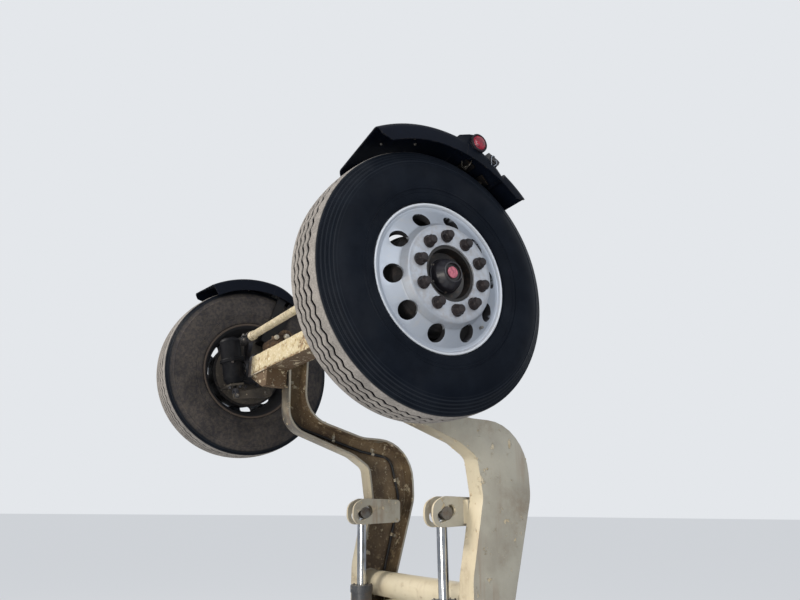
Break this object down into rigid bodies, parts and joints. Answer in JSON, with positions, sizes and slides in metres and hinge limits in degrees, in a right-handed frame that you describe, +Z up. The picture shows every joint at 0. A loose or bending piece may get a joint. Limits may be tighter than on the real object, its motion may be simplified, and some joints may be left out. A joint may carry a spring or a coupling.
{
  "type": "mixer truck booster axle",
  "caption": "Steered trailing axle on curved swing arms with disc wheels and rear fenders, swung up by hydraulic cylinders behind the drum of a concrete mixer truck",
  "frame": {"origin": "middle of the front face of the plate that bolts to the truck's rear frame", "axes": "+X truck's right side, +Y truck's front, +Z up"},
  "size_m": [2.404, 1.4636, 2.3925],
  "materials": {
    "arm_paint": "white-grey paint, dusty and stained",
    "pin_steel": "dark worn steel",
    "crusted_beam": "paint under dried concrete spatter",
    "crusted_rod": "tube under dried concrete spatter",
    "blue_grey_steel": "dark grey paint, dusty",
    "hose_rubber": "dull black",
    "clip_zinc": "zinc plated",
    "cylinder_paint": "dark grey paint",
    "rod_chrome": "hard chrome, thin dust",
    "rough_casting": "rough dark casting with brown dirt",
    "chamber_paint": "black paint, dusty",
    "fender_plastic": "satin black moulding",
    "bracket_paint": "black paint",
    "red_lens": "red lens",
    "tyre_rubber": "black rubber with a dusty tread",
    "wheel_alloy": "satin machined aluminium",
    "hub_iron": "dark oily casting",
    "drum_iron": "rusty iron",
    "cap_plastic": "black moulding",
    "nut_covers": "brown-black covers"
  },
  "bodies": {
    "root": {"mounting_plate": "arm_paint", "hinge_lugs": "arm_paint", "cylinder_lugs": "arm_paint", "pivot_pins": "pin_steel", "base_pins": "pin_steel"},
    "swing": {"arm_right": "arm_paint", "arm_left": "arm_paint", "torsion_tube": "arm_paint", "axle_beam": "crusted_beam", "axle_ends": "blue_grey_steel", "kingpins": "pin_steel", "rod_brackets": "arm_paint", "steer_lock": "blue_grey_steel", "arm_hoses": "hose_rubber", "hose_clips": "clip_zinc"},
    "barrel_right": {"barrel_right": "cylinder_paint"},
    "rod_right": {"rod_right": "rod_chrome", "eye_pin_right": "pin_steel"},
    "knuckle_right": {"knuckle_right": "rough_casting", "brake_spider_right": "rough_casting", "brake_chamber_right": "chamber_paint", "fender_right": "fender_plastic", "fender_bracket_right": "bracket_paint", "marker_lamp_right": "red_lens"},
    "wheel_right": {"tyre_right": "tyre_rubber", "wheel_right": "wheel_alloy", "hub_right": "hub_iron", "brake_drum_right": "drum_iron", "hub_cap_right": "cap_plastic", "wheel_nuts_right": "nut_covers"},
    "barrel_left": {"barrel_left": "cylinder_paint"},
    "rod_left": {"rod_left": "rod_chrome", "eye_pin_left": "pin_steel"},
    "knuckle_left": {"knuckle_left": "rough_casting", "brake_spider_left": "rough_casting", "brake_chamber_left": "chamber_paint", "fender_left": "fender_plastic", "fender_bracket_left": "bracket_paint", "marker_lamp_left": "red_lens"},
    "wheel_left": {"tyre_left": "tyre_rubber", "wheel_left": "wheel_alloy", "hub_left": "hub_iron", "brake_drum_left": "drum_iron", "hub_cap_left": "cap_plastic", "wheel_nuts_left": "nut_covers"},
    "tie_rod": {"tie_rod": "crusted_rod"}
  },
  "joints": [
    {"name": "lift", "type": "hinge", "parent": "root", "child": "swing", "pos_m": [0, -0.19, 0.1], "axis": [1, 0, 0], "range_deg": [0, 83]},
    {"name": "barrel_right_tilt", "type": "hinge", "parent": "root", "child": "barrel_right", "pos_m": [0.375, -0.3, -0.13], "axis": [1, 0, 0], "range_deg": [0, 67]},
    {"name": "rod_right_slide", "type": "slide", "parent": "barrel_right", "child": "rod_right", "axis": [0, -0.0247, 0.9997], "range_m": [-0.29, 0]},
    {"name": "barrel_left_tilt", "type": "hinge", "parent": "root", "child": "barrel_left", "pos_m": [-0.375, -0.3, -0.13], "axis": [1, 0, 0], "range_deg": [0, 67]},
    {"name": "rod_left_slide", "type": "slide", "parent": "barrel_left", "child": "rod_left", "axis": [0, -0.0247, 0.9997], "range_m": [-0.29, 0]},
    {"name": "steer_left", "type": "hinge", "parent": "swing", "child": "knuckle_left", "pos_m": [-0.8, -0.85, 1.52], "axis": [0, 0.9781, 0.2079], "range_deg": [-22, 22]},
    {"name": "steer_right", "type": "hinge", "parent": "swing", "child": "knuckle_right", "pos_m": [0.8, -0.85, 1.52], "axis": [0, 0.9781, 0.2079], "range_deg": [-22, 22]},
    {"name": "tie_rod_end", "type": "hinge", "parent": "knuckle_left", "child": "tie_rod", "pos_m": [-0.8, -0.95026, 1.66942], "axis": [0, 0.9781, 0.2079], "range_deg": [-22, 22]},
    {"name": "wheel_right_spin", "type": "hinge", "parent": "knuckle_right", "child": "wheel_right", "pos_m": [1, -0.85, 1.52], "axis": [1, 0, 0], "continuous": true},
    {"name": "wheel_left_spin", "type": "hinge", "parent": "knuckle_left", "child": "wheel_left", "pos_m": [-1, -0.85, 1.52], "axis": [1, 0, 0], "continuous": true}
  ],
  "couplings": [
    {"joint": "barrel_right_tilt", "follows": "lift", "ratio": 0.7979},
    {"joint": "rod_right_slide", "follows": "lift", "m_per_rad": -0.1951},
    {"joint": "barrel_left_tilt", "follows": "lift", "ratio": 0.7979},
    {"joint": "rod_left_slide", "follows": "lift", "m_per_rad": -0.1951},
    {"joint": "steer_right", "follows": "steer_left", "ratio": 1},
    {"joint": "tie_rod_end", "follows": "steer_left", "ratio": -1}
  ]
}
